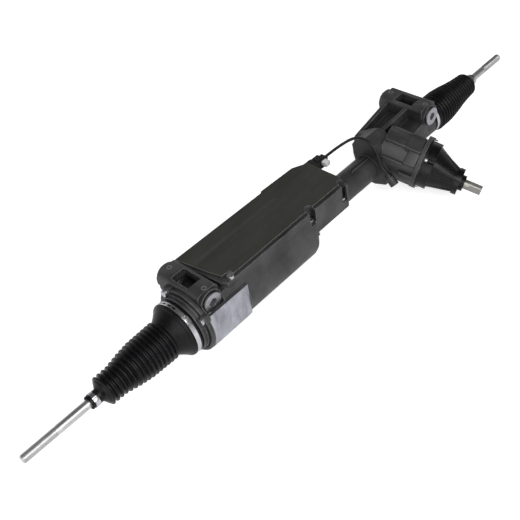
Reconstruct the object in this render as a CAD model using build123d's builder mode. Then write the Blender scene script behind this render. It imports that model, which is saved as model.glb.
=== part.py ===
from build123d import *
import os
from math import atan, cos, pi, radians, sin, sqrt, tan

# Electric power steering rack. The motor is built round the rack: its hollow rotor turns a ball nut, and
# the nut drives the rack bar. The pinion at the other end takes the driver's input.
# Millimetres. The origin is the middle of the left bracket's bolt bore. +X runs along the rack to the
# pinion end, -Y is the side that the input shaft leaves, +Z is square to the controller lid.
os.makedirs("parts", exist_ok=True)

# ---------------------------------------------------------------- driving dimensions
running_fit = 0.05          # radial clearance of a shaft in its bearing or bush
seat_gap = 0.3              # clearance between faces that only lie near each other
stroke = 75.0               # rack travel each way from the middle

# where things stand: distances from the left bracket bolt, and from the rack axis
bracket_pitch = 567.0       # from the left bracket bolt to the right one
bolt_rise = 42.0            # bracket bolt axis above the rack axis
boss_front = -36.0          # front face of the bracket bosses
boss_back = 62.0            # back face of the bracket bosses
pinion_x = 466.0            # where the pinion crosses the rack
left_ball_x = -119.0        # ball joint centres with the rack in the middle
right_ball_x = 653.0

# brackets and their bushes
boss_radius = 20.5
bush_bore = 17.6            # radius of the hole that each bush is pressed into
sleeve_radius = 12.0        # steel inner sleeve of a bush
sleeve_bore = 7.0
washer_radius = 16.2        # flange of the inner sleeve
washer_thickness = 3.0
bush_proud = 1.2            # rubber between the boss face and the sleeve's flange
pocket_front = -7.0         # recess between the two bosses of a bracket
pocket_back = 36.0
pocket_floor = 25.0
bush_depth = 23.0           # length of the bore that a bush is pressed into
bolt_clearance = 9.0        # radius of the hole that carries on into the recess

# rack bar and ball screw
rack_radius = 14.0
rack_end_thread = 9.0       # radius of the threaded hole that the ball joint screws into
rack_end_depth = 18.0

# rack teeth and pinion
module = 2.0
pinion_teeth = 9
tooth_addendum = 1.6
tooth_dedendum = 2.1
tooth_backlash = 0.16
pressure_angle = 25.0
tooth_land = 9.0            # height of the tooth tips above the rack axis
pinion_skew = 15.5          # lean of the pinion from square to the rack, degrees
pinion_dip = 16.0           # fall of the pinion towards the driver's side, degrees
pinion_face = 14.0          # half the length of the pinion's teeth

# tie rods and inner ball joints
rod_radius = 7.0
rod_length = 215.0          # ball centre to tip
rod_neck_radius = 6.0
rod_chamfer = 1.5
thread_length = 60.0
thread_depth = 0.35
flat_distance = 94.0        # tip to the spanner flats
flat_length = 14.0
ball_radius = 12.5
cup_radius = 17.5           # housing of the inner ball joint
cup_depth = 20.0            # ball centre to the face that meets the rack
cup_mouth = 8.0             # ball centre to the open end

# end cap that carries the left boot
cap_start = -52.0
seat_radius = 43.0
cap_neck_start = -37.0
cap_neck_radius = 48.6
cap_flange_radius = 50.0
cap_flange_length = 10.0
cap_bore = 38.0
cap_bolt_circle = 54.6
cap_bolt_angles = (55.0, 145.0, 270.0, 340.0)
cap_ear_radius = 8.0
bolt_head_radius = 5.6
bolt_head_height = 5.0
bolt_shank_radius = 3.0
bolt_reach = 9.0            # length of a shank in the casting that it screws into

# gear housing: left casting with the left bracket
gear_start = -20.0
gear_radius = 57.0
gear_end = 62.0
gear_top = 34.0             # top of the block under the bracket
machined_flat = -50.0       # milled face on the front

# motor housing: centre casting with the controller tray
motor_radius = 53.0
motor_bore = 46.0
motor_end = 232.0
front_setback = 13.0        # front wall of the tray behind the motor's widest line
tray_front = front_setback - motor_radius
tray_back = 60.0
rim_over_motor = 1.0
tray_rim = motor_radius + rim_over_motor
tray_bottom = 4.0
tray_end = 320.0
tray_wall = 4.0
electronics_depth = 4.5     # from the rim to the floor of the electronics room above the motor
tray_floor = tray_rim - electronics_depth
crease_height = 30.0        # where the tray's front wall meets the round of the motor
rear_foot = 30.0            # front of the compartment behind the motor
lid_thickness = 3.5
well_radius = 7.5
well_places = ((229.0, 30.0), (312.0, 20.0))    # x and floor height of the tray bolt wells
lid_bolt = (45.0, tray_front + 5.5)
well_y = tray_front + 7.0

# rotor, stator and ball nut
nut_start = 24.0
nut_radius = 26.0
nut_end = 80.0
nut_flange = 6.0
rotor_bore = 17.0
rotor_radius = 24.0
rotor_end = 222.0
magnet_radius = 30.0
stack_start = 106.0
stack_end = 194.0
air_gap = 1.0
winding_length = 12.0
nut_bearing_width = 22.0
nut_bearing_radius = 41.0
nut_bearing_parting = 32.0
tail_bearing_width = 12.0
tail_bearing_radius = 36.0
tail_bearing_parting = 29.0

# rack tube and pinion housing; the pinion's lengths run outward from the crossing with the rack
tube_radius = 24.6
tube_bore = 18.5
rack_bush_length = 14.0
housing_end = 614.0
end_seat_radius = 25.6
cup_room = 20.5             # bore that the ball joint housing runs into at full travel
shoulder_start = 426.0      # left face of the pinion housing
socket_mouth = (422.0, -44.0, 8.0)      # where the sensor harness ends
socket_length = 9.0
tower_radius = 43.0
tower_end = 75.0            # face that the pinion cover sits on
tower_back = -50.0
neck_radius = 24.0
sensor_bore = 34.0
flange_radius = 47.5
flange_thickness = 7.0
flange_shift = (5.5, 3.8)   # centre of the flange, off the pinion axis
screw_circle = 43.5
screw_angles = (32.0, 128.0, 245.0)
screw_head_radius = 3.6
screw_notch = 4.6

# pinion, its bearings, input shaft and pinion cover
shaft_radius = 8.5
needle_start = -44.0
needle_length = 14.0
needle_radius = 12.0
pinion_bearing_start = 24.0
pinion_bearing_width = 12.0
pinion_bearing_radius = 21.0
pinion_bearing_parting = 14.0
pinion_end = 60.0
torsion_radius = 3.4
torsion_room = 4.2
input_start = 62.0
input_end = 186.5
cover_drum_end = 95.0
cover_radius = 41.9
cover_cone_end = 136.0
cover_tip_radius = 21.5
cover_ring_start = 138.5
cover_ring_end = 148.0
cover_ring_radius = 24.0
cover_wall = 3.0
seal_radius = 14.0
seal_end = 155.0

# yoke that presses the rack against the pinion
yoke_radius = 13.0
yoke_boss_radius = 17.0
yoke_depth = 30.0
yoke_spring_length = 9.0
yoke_plug_length = 11.0
yoke_boss_depth = yoke_depth + yoke_spring_length + yoke_plug_length

# ---------------------------------------------------------------- frame
rack_y = -(boss_front + boss_back) / 2
rack_z = -bolt_rise
pitch_radius = module * pinion_teeth / 2
pinion_rise = tooth_land - tooth_addendum + pitch_radius
skew = radians(pinion_skew)
dip = radians(pinion_dip)
outward = Vector(sin(skew), -cos(skew) * cos(dip), -cos(skew) * sin(dip))    # along the pinion, to the driver
away = Vector(0, -sin(dip), cos(dip))                                        # from the rack to the pinion
sideways = away.cross(outward)
crossing = Vector(pinion_x, rack_y, rack_z)
rack_line = Axis((0, rack_y, rack_z), (1, 0, 0))


def across(x):
    """Plane square to the rack; its x is +Y and its y is +Z, from the rack axis."""
    return Plane(origin=(x, rack_y, rack_z), x_dir=(0, 1, 0), z_dir=(1, 0, 0))


def level(height):
    """Plane parallel to the lid, this high above the rack axis."""
    return Plane(origin=(0, rack_y, rack_z + height), x_dir=(1, 0, 0), z_dir=(0, 0, 1))


def upright(y):
    """Plane along the rack that faces the front, this far behind the rack axis."""
    return Plane(origin=(0, rack_y + y, rack_z), x_dir=(1, 0, 0), z_dir=(0, -1, 0))


def pinion_plane(reach):
    """Plane square to the pinion; its y points away from the rack, from the pinion axis."""
    origin = crossing + away * pinion_rise + outward * reach
    return Plane(origin=tuple(origin), x_dir=tuple(sideways), z_dir=tuple(outward))


def pinion_side(angle):
    """Plane that holds the pinion axis; its x runs along it and its y at this angle round it."""
    spoke = sideways * cos(radians(angle)) + away * sin(radians(angle))
    normal = outward.cross(spoke)
    return Plane(origin=tuple(crossing + away * pinion_rise), x_dir=tuple(outward), z_dir=tuple(normal))


def yoke_plane(depth):
    """Plane square to the yoke's bore, this far behind the rack axis as the pinion sees it."""
    return Plane(origin=tuple(crossing - away * depth), x_dir=(1, 0, 0), z_dir=tuple(-away))


def socket_plane(depth):
    """Plane square to the sensor's socket, this far beyond its mouth."""
    x, y, z = socket_mouth
    along = Vector(0, -1, -1).normalized()
    mouth = Vector(x, rack_y + y, rack_z + z) + along * (depth + running_fit)
    return Plane(origin=tuple(mouth), x_dir=(1, 0, 0), z_dir=tuple(along))


def disc_on(plane, length, radius, mode=Mode.ADD, place=(0, 0)):
    """Cylinder that rises from a plane."""
    with BuildSketch(plane) as face:
        with Locations(place):
            Circle(radius)
    extrude(face.sketch, amount=length, mode=mode)


def rack_disc(start, end, radius, mode=Mode.ADD):
    """Cylinder about the rack axis."""
    disc_on(across(start), end - start, radius, mode)


def cross_disc(x, z, start, end, radius, mode=Mode.ADD):
    """Cylinder along Y, from y = start back to y = end."""
    disc_on(upright(end), end - start, radius, mode, (x, z))


def upright_disc(x, y, start, end, radius, mode=Mode.ADD):
    """Cylinder along Z, from height start up to height end."""
    disc_on(level(start), end - start, radius, mode, (x, y))


def pinion_disc(start, end, radius, mode=Mode.ADD, place=(0, 0)):
    """Cylinder along the pinion axis."""
    disc_on(pinion_plane(start), end - start, radius, mode, place)


def yoke_disc(start, end, radius, mode=Mode.ADD):
    """Cylinder along the yoke's bore."""
    disc_on(yoke_plane(start), end - start, radius, mode)


def block(x0, x1, y0, y1, z0, z1, mode=Mode.ADD):
    """Square-cornered room or wall between two corners."""
    with BuildSketch(level(z0)) as face:
        with Locations(((x0 + x1) / 2, (y0 + y1) / 2)):
            Rectangle(x1 - x0, y1 - y0)
    extrude(face.sketch, amount=z1 - z0, mode=mode)


def prism_on(plane, length, points, mode=Mode.ADD):
    """Outline of corners on a plane, carried along its normal."""
    with BuildSketch(plane) as face:
        with BuildLine():
            Polyline(points, close=True)
        make_face()
    extrude(face.sketch, amount=length, mode=mode)


def prism_across(start, end, points, mode=Mode.ADD):
    """Outline of (y, z) corners, carried along the rack."""
    prism_on(across(start), end - start, points, mode)


def prism_upright(front, back, points, mode=Mode.ADD):
    """Outline of (x, z) corners, carried from y = front to y = back."""
    prism_on(upright(back), back - front, points, mode)


def turned(points, mode=Mode.ADD):
    """Turned about the rack axis from an outline of (x, radius) corners."""
    with BuildSketch(upright(0)) as face:
        with BuildLine():
            Polyline(points, close=True)
        make_face()
    revolve(face.sketch, axis=rack_line, mode=mode)


def keep(piece, name):
    """Label a sub-part and write it to its own file."""
    piece.part.label = name
    export_step(piece.part, f"parts/{name}.step")


# ---------------------------------------------------------------- rack bar
tooth_pitch = pi * module
rack_tooth_step = tooth_pitch / cos(skew)
toothed_reach = stroke + 2 * pitch_radius
rack_start = left_ball_x + cup_depth
rack_end = right_ball_x - cup_depth


def rack_slot():
    """Gap between two rack teeth, corners from the rack axis up, square to the teeth."""
    slope = tan(radians(pressure_angle))
    half_gap = tooth_pitch / 4 + tooth_backlash / 2
    pitch_line = tooth_land - tooth_addendum
    top = tooth_land + 1
    root = pitch_line - tooth_dedendum
    wide = half_gap + (top - pitch_line) * slope
    narrow = half_gap - tooth_dedendum * slope
    return [(-wide, top), (wide, top), (narrow, root), (-narrow, root)]


with BuildPart() as rack_bar:
    rack_disc(rack_start, rack_end, rack_radius)
    # flat that the teeth are cut in
    land = Plane(origin=tuple(crossing + away * tooth_land), x_dir=(1, 0, 0), z_dir=tuple(away))
    with BuildSketch(land) as flat:
        Rectangle(2 * toothed_reach, 2 * rack_radius)
    extrude(flat.sketch, amount=rack_radius, mode=Mode.SUBTRACT)
    slot_reach = rack_radius + tooth_pitch
    slot_count = int(toothed_reach / rack_tooth_step)
    for step in range(-slot_count, slot_count + 1):
        middle = crossing + Vector(step * rack_tooth_step, 0, 0) - outward * slot_reach
        tooth_plane = Plane(origin=tuple(middle), x_dir=tuple(sideways), z_dir=tuple(outward))
        prism_on(tooth_plane, 2 * slot_reach, rack_slot(), Mode.SUBTRACT)
    # threaded holes for the ball joints
    rack_disc(rack_start, rack_start + rack_end_depth, rack_end_thread, Mode.SUBTRACT)
    rack_disc(rack_end - rack_end_depth, rack_end, rack_end_thread, Mode.SUBTRACT)
keep(rack_bar, "rack_bar")


# ---------------------------------------------------------------- inner ball joints and tie rods
def ball_cup(ball_x, side):
    """Housing of an inner ball joint; side is -1 at the left end and 1 at the right."""
    back = ball_x - side * cup_depth
    stud_tip = back - side * (rack_end_depth - 1)
    mouth = ball_x + side * cup_mouth
    with BuildPart() as cup:
        turned([(back, 0), (back, cup_radius - 1), (back + side, cup_radius),
                (mouth - 3 * side, cup_radius), (mouth, cup_radius - 2.5), (mouth, 0)])
        turned([(stud_tip, 0), (stud_tip, rack_end_thread - running_fit),
                (back, rack_end_thread - running_fit), (back, 0)])
        with Locations((ball_x, rack_y, rack_z)):
            Sphere(ball_radius + running_fit, mode=Mode.SUBTRACT)
        spanner_flat = cup_radius - 2
        flat_end = back + 11 * side
        for face_y in (spanner_flat, -spanner_flat - 3):
            block(min(back, flat_end), max(back, flat_end), face_y, face_y + 3,
                  -cup_radius, cup_radius, Mode.SUBTRACT)
    return cup


def tie_rod(ball_x, side):
    """Tie rod in one piece with its ball, with spanner flats and a threaded outer end."""
    tip = ball_x + side * rod_length
    thread_start = tip - side * thread_length
    core = rod_radius - thread_depth
    neck_end = ball_x + 30 * side
    neck_start = ball_x + side * sqrt(ball_radius ** 2 - rod_neck_radius ** 2)
    with BuildPart() as rod:
        with BuildSketch(upright(0)) as outline:
            with BuildLine():
                ThreePointArc((ball_x - side * ball_radius, 0), (ball_x, ball_radius),
                              (neck_start, rod_neck_radius))
                Polyline((neck_start, rod_neck_radius), (neck_end, rod_neck_radius),
                         (neck_end + 4 * side, rod_radius), (thread_start - side, rod_radius),
                         (thread_start, core), (tip - rod_chamfer * side, core), (tip, core - rod_chamfer),
                         (tip, 0), (ball_x - side * ball_radius, 0))
            make_face()
        revolve(outline.sketch, axis=rack_line)
        flats = (tip - flat_distance * side, tip - (flat_distance + flat_length) * side)
        for face_y in (rod_radius - 1, -rod_radius - 1):
            block(min(flats), max(flats), face_y, face_y + 2, -rod_radius, rod_radius, Mode.SUBTRACT)
    return rod


for name, ball_x, side in (("left", left_ball_x, -1), ("right", right_ball_x, 1)):
    keep(ball_cup(ball_x, side), f"{name}_ball_joint_housing")
    keep(tie_rod(ball_x, side), f"{name}_tie_rod")

# ---------------------------------------------------------------- ball nut, rotor and stator
with BuildPart() as ball_nut:
    rack_disc(nut_start, nut_end, nut_radius - running_fit)
    rack_disc(nut_end - nut_flange, nut_end, magnet_radius)
    rack_disc(nut_start, nut_end, rack_radius + seat_gap, Mode.SUBTRACT)
keep(ball_nut, "ball_nut")

with BuildPart() as rotor_sleeve:
    rack_disc(nut_end, rotor_end, rotor_radius)
    rack_disc(nut_end, nut_end + nut_flange, magnet_radius)
    rack_disc(nut_end, rotor_end, rotor_bore, Mode.SUBTRACT)
keep(rotor_sleeve, "rotor_sleeve")

magnet_count = 8
with BuildPart() as rotor_magnets:
    rack_disc(stack_start, stack_end, magnet_radius)
    rack_disc(stack_start, stack_end, rotor_radius + running_fit, Mode.SUBTRACT)
    for step in range(magnet_count):
        with BuildSketch(across(stack_start)) as slit:
            with Locations(Rotation(0, 0, 360 / magnet_count * step) * Pos(magnet_radius, 0)):
                Rectangle(2 * (magnet_radius - rotor_radius) + 2, 2)
        extrude(slit.sketch, amount=stack_end - stack_start, mode=Mode.SUBTRACT)
keep(rotor_magnets, "rotor_magnets")

stator_bore = magnet_radius + air_gap
with BuildPart() as stator_stack:
    rack_disc(stack_start, stack_end, motor_bore - running_fit)
    rack_disc(stack_start, stack_end, stator_bore, Mode.SUBTRACT)
keep(stator_stack, "stator_stack")

with BuildPart() as stator_windings:
    for start in (stack_start - winding_length, stack_end):
        rack_disc(start, start + winding_length, motor_bore - 3)
        rack_disc(start, start + winding_length, stator_bore + 2, Mode.SUBTRACT)
keep(stator_windings, "stator_windings")


# ---------------------------------------------------------------- bearings round the rotor
def bearing_ring(start, width, outer, inner):
    """Plain ring about the rack axis, with broken edges outside."""
    with BuildPart() as ring:
        turned([(start, inner), (start, outer - 0.6), (start + 0.6, outer), (start + width - 0.6, outer),
                (start + width, outer - 0.6), (start + width, inner)])
    return ring


tail_start = rotor_end - tail_bearing_width
keep(bearing_ring(nut_start, nut_bearing_width, nut_bearing_parting, nut_radius), "nut_bearing_inner_ring")
keep(bearing_ring(nut_start, nut_bearing_width, nut_bearing_radius - running_fit,
                  nut_bearing_parting + running_fit), "nut_bearing_outer_ring")
keep(bearing_ring(tail_start, tail_bearing_width, tail_bearing_parting, rotor_radius + running_fit),
     "tail_bearing_inner_ring")
keep(bearing_ring(tail_start, tail_bearing_width, tail_bearing_radius - running_fit,
                  tail_bearing_parting + running_fit), "tail_bearing_outer_ring")


# ---------------------------------------------------------------- end cap
def bolt_circle():
    return [(cap_bolt_circle * cos(radians(a)), cap_bolt_circle * sin(radians(a))) for a in cap_bolt_angles]


cap_shoulder = gear_start - cap_flange_length
with BuildPart() as end_cap:
    turned([(cap_start, cap_bore), (cap_start, seat_radius - 1), (cap_start + 1, seat_radius),
            (cap_neck_start, seat_radius), (cap_neck_start, cap_neck_radius - 1),
            (cap_neck_start + 1, cap_neck_radius), (cap_shoulder, cap_neck_radius),
            (cap_shoulder, cap_flange_radius), (gear_start, cap_flange_radius),
            (gear_start, cap_bore)])
    for place in bolt_circle():
        disc_on(across(cap_shoulder), cap_flange_length, cap_ear_radius, Mode.ADD, place)
    for place in bolt_circle():
        disc_on(across(cap_shoulder), cap_flange_length, bolt_shank_radius, Mode.SUBTRACT, place)
keep(end_cap, "end_cap")

with BuildPart() as end_cap_bolts:
    for place in bolt_circle():
        disc_on(across(cap_shoulder - bolt_head_height), bolt_head_height, bolt_head_radius, Mode.ADD, place)
        disc_on(across(cap_shoulder), cap_flange_length + bolt_reach - 1, bolt_shank_radius - running_fit,
                Mode.ADD, place)
keep(end_cap_bolts, "end_cap_bolts")


# ---------------------------------------------------------------- brackets
def bracket_bosses(x):
    """Round bar across the rack that both bosses of a bracket are made from."""
    cross_disc(x, bolt_rise, boss_front, boss_back, boss_radius)


def bracket_holes(x, pocket_left, pocket_right):
    """Bores for the bushes, the bolt's way between them, and the recess between the bosses."""
    cross_disc(x, bolt_rise, boss_front - 1, boss_front + bush_depth, bush_bore, Mode.SUBTRACT)
    cross_disc(x, bolt_rise, boss_back - bush_depth, boss_back + 1, bush_bore, Mode.SUBTRACT)
    cross_disc(x, bolt_rise, boss_front, boss_back, bolt_clearance, Mode.SUBTRACT)
    block(x + pocket_left, x + pocket_right, pocket_front, pocket_back, pocket_floor,
          bolt_rise + boss_radius + 1, Mode.SUBTRACT)


# ---------------------------------------------------------------- motor housing
tray_outline = [(20, tray_back), (tray_end - 20, tray_back), (tray_end, 46), (tray_end, tray_front + 12),
                (tray_end - 6, tray_front), (34, tray_front), (27, -30), (24, 10)]
rear_room_end = tray_end - tray_wall
room_front = -22.0
with BuildPart() as motor_housing:
    rack_disc(gear_start, gear_end, gear_radius)
    block(gear_start, gear_end, -gear_radius, gear_radius, gear_top + 10, gear_radius + 1, Mode.SUBTRACT)
    turned([(gear_end, 0), (gear_end, motor_radius), (motor_end - 10, motor_radius),
            (motor_end - 5, motor_radius - 1.5), (motor_end - 1.5, motor_radius - 5),
            (motor_end, motor_radius - 10), (motor_end, 0)])
    # block under the left bracket
    prism_across(gear_start, gear_end,
                 [(machined_flat, -26), (machined_flat, gear_top), (boss_front + 2, gear_top + 6),
                  (tray_back - 4, gear_top + 6), (tray_back - 2, -20), (0, -40)])
    # shoulders of the tray along the top and the back of the motor
    prism_across(27, motor_end,
                 [(tray_front, tray_rim - 14), (tray_front - 4, crease_height), (tray_front - 10, 8), (0, 0),
                  (rear_foot, -motor_radius), (tray_back - 2, -motor_radius), (tray_back, tray_rim - 14)])
    prism_across(motor_end, tray_end,
                 [(tray_front, tray_rim - 14), (tray_front - 1, tray_bottom), (rear_foot, tray_bottom),
                  (rear_foot, -motor_radius), (tray_back - 2, -motor_radius), (tray_back, tray_rim - 14)])
    # walls of the tray
    prism_on(level(gear_top), tray_rim - gear_top, tray_outline)
    bracket_bosses(0)
    block(gear_start - 2, gear_start, boss_front, boss_back, 0, bolt_rise + boss_radius, Mode.SUBTRACT)
    cross_disc(0, bolt_rise, machined_flat + 4, boss_front, washer_radius + 2, Mode.SUBTRACT)
    # milled front face
    block(gear_start - 1, gear_end, machined_flat - 20, machined_flat, -60, 60, Mode.SUBTRACT)
    # electronics room above the motor, and the deep room beyond it
    block(34, rear_room_end, room_front, tray_back - tray_wall, tray_floor, tray_rim + 1, Mode.SUBTRACT)
    block(motor_end + tray_wall, rear_room_end, rear_foot + tray_wall, tray_back - tray_wall - 2,
          -motor_radius + tray_wall, tray_rim + 1, Mode.SUBTRACT)
    # room for the ball joint, then the bore for the bearings, the nut and the stator
    rack_disc(gear_start, nut_start, cup_room, Mode.SUBTRACT)
    rack_disc(nut_start, nut_start + nut_bearing_width, nut_bearing_radius, Mode.SUBTRACT)
    rack_disc(nut_start + nut_bearing_width, tail_start - 4, motor_bore, Mode.SUBTRACT)
    rack_disc(tail_start - 5, tail_start, tail_bearing_radius - 4, Mode.SUBTRACT)
    rack_disc(tail_start, rotor_end + 1, tail_bearing_radius, Mode.SUBTRACT)
    rack_disc(rotor_end, motor_end + 1, tube_bore, Mode.SUBTRACT)
    # saddle over the rack tube
    rack_disc(motor_end, tray_end + 1, tube_radius + seat_gap, Mode.SUBTRACT)
    # wells of the tray bolts, open to the front
    for x, floor in well_places:
        upright_disc(x, well_y, floor, tray_rim + 1, well_radius, Mode.SUBTRACT)
        block(x - well_radius, x + well_radius, tray_front - 12, well_y, floor, tray_rim + 1, Mode.SUBTRACT)
        upright_disc(x, well_y, floor - bolt_reach, floor, bolt_shank_radius, Mode.SUBTRACT)
    bracket_holes(0, -15, 19)
    for place in bolt_circle():
        disc_on(across(gear_start), bolt_reach, bolt_shank_radius, Mode.SUBTRACT, place)
    upright_disc(*lid_bolt, tray_rim - bolt_reach, tray_rim, bolt_shank_radius, Mode.SUBTRACT)
keep(motor_housing, "motor_housing")

# ---------------------------------------------------------------- controller lid and its bolts
with BuildPart() as controller_lid:
    prism_on(level(tray_rim), lid_thickness,
             [(20, tray_back), (214, tray_back - 2), (218, tray_back + 1), (tray_end - 26, tray_back - 1),
              (tray_end, 46), (tray_end, tray_front + 16), (306, tray_front + 6), (240, tray_front + 6),
              (52, tray_front + 5), (52, -27),
              (36, -24), (30, 0)])
    for x, floor in well_places:
        upright_disc(x, well_y, tray_rim, tray_rim + lid_thickness, well_radius, Mode.SUBTRACT)
keep(controller_lid, "controller_lid")

with BuildPart() as tray_bolts:
    for x, floor in well_places:
        upright_disc(x, well_y, floor, floor + bolt_head_height, bolt_head_radius)
        upright_disc(x, well_y, floor - bolt_reach + 1, floor, bolt_shank_radius - running_fit)
    upright_disc(*lid_bolt, tray_rim, tray_rim + bolt_head_height, bolt_head_radius)
    upright_disc(*lid_bolt, tray_rim - bolt_reach + 1, tray_rim, bolt_shank_radius - running_fit)
keep(tray_bolts, "tray_bolts")

# ---------------------------------------------------------------- electronics
board_height = tray_floor + seat_gap
board_thickness = 1.6
capacitor_radius = 8.5
capacitor_drop = 30.0
with BuildPart() as controller_board:
    block(37, rear_room_end - 2, room_front + 2, tray_back - tray_wall - 2, board_height,
          board_height + board_thickness)
keep(controller_board, "controller_board")

with BuildPart() as capacitors:
    for step in range(4):
        x = motor_end + 16 + step * (2 * capacitor_radius + 2)
        upright_disc(x, (rear_foot + tray_back) / 2, board_height - capacitor_drop, board_height - running_fit,
                     capacitor_radius)
keep(capacitors, "capacitors")

# ---------------------------------------------------------------- rack housing with the pinion tower
shoulder_outline = [(30, 16), (33, 38), (26, 49), (6, 59), (-8, 58.5), (-17, 53), (-24, 41), (-29, 24),
                    (-38, 8), (-43, 0), (-40, -22), (-16, -30), (16, -30)]
with BuildPart() as rack_housing:
    rack_disc(motor_end, housing_end, tube_radius)
    # left face of the pinion housing
    prism_across(shoulder_start, pinion_x, shoulder_outline)
    rack_disc(pinion_x, bracket_pitch + 16, tube_radius + 5)
    # tower round the pinion and the torque sensor
    with BuildSketch(pinion_plane(tower_back)) as root:
        Circle(neck_radius - 10)
    with BuildSketch(pinion_plane(tower_back + 12)) as swell:
        Circle(neck_radius)
    loft([root.sketch, swell.sketch])
    pinion_disc(tower_back + 12, 0, neck_radius)
    pinion_disc(0, tower_end, tower_radius, Mode.ADD, (2.5, 1.8))
    pinion_disc(tower_end - flange_thickness, tower_end, flange_radius, Mode.ADD, flange_shift)
    yoke_disc(0, yoke_boss_depth, yoke_boss_radius)
    disc_on(socket_plane(socket_length), 16, 8)
    # right bracket and the ribs that carry it
    bracket_bosses(bracket_pitch)
    block(bracket_pitch - 20, bracket_pitch + 20, boss_front + 4, boss_back - 4, 0, bolt_rise)
    for y, low in ((44, 34), (2, 50)):
        prism_upright(y - 3.5, y + 3.5,
                      [(pinion_x - 20, 0), (pinion_x - 14, low), (bracket_pitch - 18, bolt_rise + 15),
                       (bracket_pitch, bolt_rise), (bracket_pitch, 0)])
    prism_upright(boss_front + 2, 46, [(pinion_x, -10), (pinion_x, 22), (bracket_pitch - 12, 36),
                                       (bracket_pitch, 0)])
    rack_disc(bracket_pitch, housing_end - 16, tube_radius + 5)
    rack_disc(housing_end - 16, housing_end, end_seat_radius)
    # rooms inside
    rack_disc(motor_end - 1, housing_end + 1, tube_bore, Mode.SUBTRACT)
    rack_disc(right_ball_x - cup_depth - stroke - 3, housing_end + 1, cup_room, Mode.SUBTRACT)
    pinion_disc(needle_start, needle_start + needle_length, needle_radius, Mode.SUBTRACT)
    pinion_disc(needle_start + needle_length, pinion_bearing_start, pinion_bearing_parting + 2 * seat_gap,
                Mode.SUBTRACT)
    pinion_disc(pinion_bearing_start, pinion_bearing_start + pinion_bearing_width, pinion_bearing_radius,
                Mode.SUBTRACT)
    pinion_disc(pinion_bearing_start + pinion_bearing_width, tower_end, sensor_bore, Mode.SUBTRACT)
    yoke_disc(0, yoke_boss_depth, yoke_radius, Mode.SUBTRACT)
    bracket_holes(bracket_pitch, -17, 10)
keep(rack_housing, "rack_housing")

# ---------------------------------------------------------------- pinion, torsion bar and input shaft
def tooth_flank(radius, base, base_half_angle):
    """Half angle of a tooth at this radius, with an involute flank above the base circle."""
    if radius <= base:
        return base_half_angle
    roll = sqrt((radius / base) ** 2 - 1)
    return base_half_angle - (roll - atan(roll))


def pinion_outline():
    """Corners of all the pinion's teeth, the first one pointing at the rack."""
    base = pitch_radius * cos(radians(pressure_angle))
    roll = sqrt((pitch_radius / base) ** 2 - 1)
    base_half_angle = pi / (2 * pinion_teeth) - 0.05 / pitch_radius + (roll - atan(roll))
    root = pitch_radius - tooth_addendum - 0.4
    radii = [root, base, base + 0.7, base + 1.5, pitch_radius + tooth_addendum]
    corners = []
    for tooth in range(pinion_teeth):
        middle = -pi / 2 + 2 * pi * tooth / pinion_teeth
        for r in radii:
            angle = middle - tooth_flank(r, base, base_half_angle)
            corners.append((r * cos(angle), r * sin(angle)))
        for r in reversed(radii):
            angle = middle + tooth_flank(r, base, base_half_angle)
            corners.append((r * cos(angle), r * sin(angle)))
    return corners


with BuildPart() as pinion:
    prism_on(pinion_plane(-pinion_face), 2 * pinion_face, pinion_outline())
    pinion_disc(needle_start, -pinion_face, shaft_radius - 0.5)
    pinion_disc(pinion_face, pinion_end, shaft_radius)
    pinion_disc(pinion_face + 2, pinion_face + 12, torsion_radius + running_fit, Mode.SUBTRACT)
    pinion_disc(pinion_face + 12, pinion_end, torsion_room, Mode.SUBTRACT)
keep(pinion, "pinion")

bar_end = input_end - 6
with BuildPart() as torsion_bar:
    pinion_disc(pinion_face + 2, pinion_face + 12, torsion_radius)
    pinion_disc(pinion_face + 12, bar_end - 10, torsion_radius - 0.8)
    pinion_disc(bar_end - 10, bar_end, torsion_radius)
keep(torsion_bar, "torsion_bar")

input_flat_start = 164.0
input_flat = 6.9            # shaft centre to each of its facets
with BuildPart() as input_shaft:
    pinion_disc(input_start, input_end - 1, shaft_radius)
    with BuildSketch(pinion_plane(input_end - 1)) as rim:
        Circle(shaft_radius)
    extrude(rim.sketch, amount=1, taper=30)
    pinion_disc(input_start, bar_end - 10, torsion_room, Mode.SUBTRACT)
    pinion_disc(bar_end - 10, input_end, torsion_radius + running_fit, Mode.SUBTRACT)
    # facets that the column's joint grips
    for angle in (75, 165, 255, 345):
        plane = pinion_side(angle)
        with BuildSketch(plane) as cut:
            with Locations(((input_flat_start + input_end + 1) / 2, input_flat + 2)):
                Rectangle(input_end + 1 - input_flat_start, 4)
        extrude(cut.sketch, amount=shaft_radius, both=True, mode=Mode.SUBTRACT)
keep(input_shaft, "input_shaft")


def pinion_ring(start, end, outer, inner):
    """Plain ring about the pinion axis."""
    with BuildPart() as ring:
        pinion_disc(start, end, outer)
        pinion_disc(start, end, inner, Mode.SUBTRACT)
    return ring


bearing_end = pinion_bearing_start + pinion_bearing_width
keep(pinion_ring(pinion_bearing_start, bearing_end, pinion_bearing_parting, shaft_radius + running_fit),
     "pinion_bearing_inner_ring")
keep(pinion_ring(pinion_bearing_start, bearing_end, pinion_bearing_radius - running_fit,
                 pinion_bearing_parting + running_fit), "pinion_bearing_outer_ring")
keep(pinion_ring(needle_start, needle_start + needle_length, needle_radius - running_fit,
                 shaft_radius - 0.5 + running_fit), "needle_bearing")
keep(pinion_ring(bearing_end + 8, bearing_end + 18, pinion_bearing_parting - 1, shaft_radius + running_fit),
     "sensor_magnet_ring")
keep(pinion_ring(bearing_end + running_fit, bearing_end + 26, sensor_bore - running_fit,
                 pinion_bearing_parting), "torque_sensor")

# ---------------------------------------------------------------- pinion cover
cover_flange = 3.5


def screw_places():
    """Centres of the cover screws, from the pinion axis."""
    return [(flange_shift[0] + screw_circle * cos(radians(angle)),
             flange_shift[1] + screw_circle * sin(radians(angle))) for angle in screw_angles]


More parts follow.
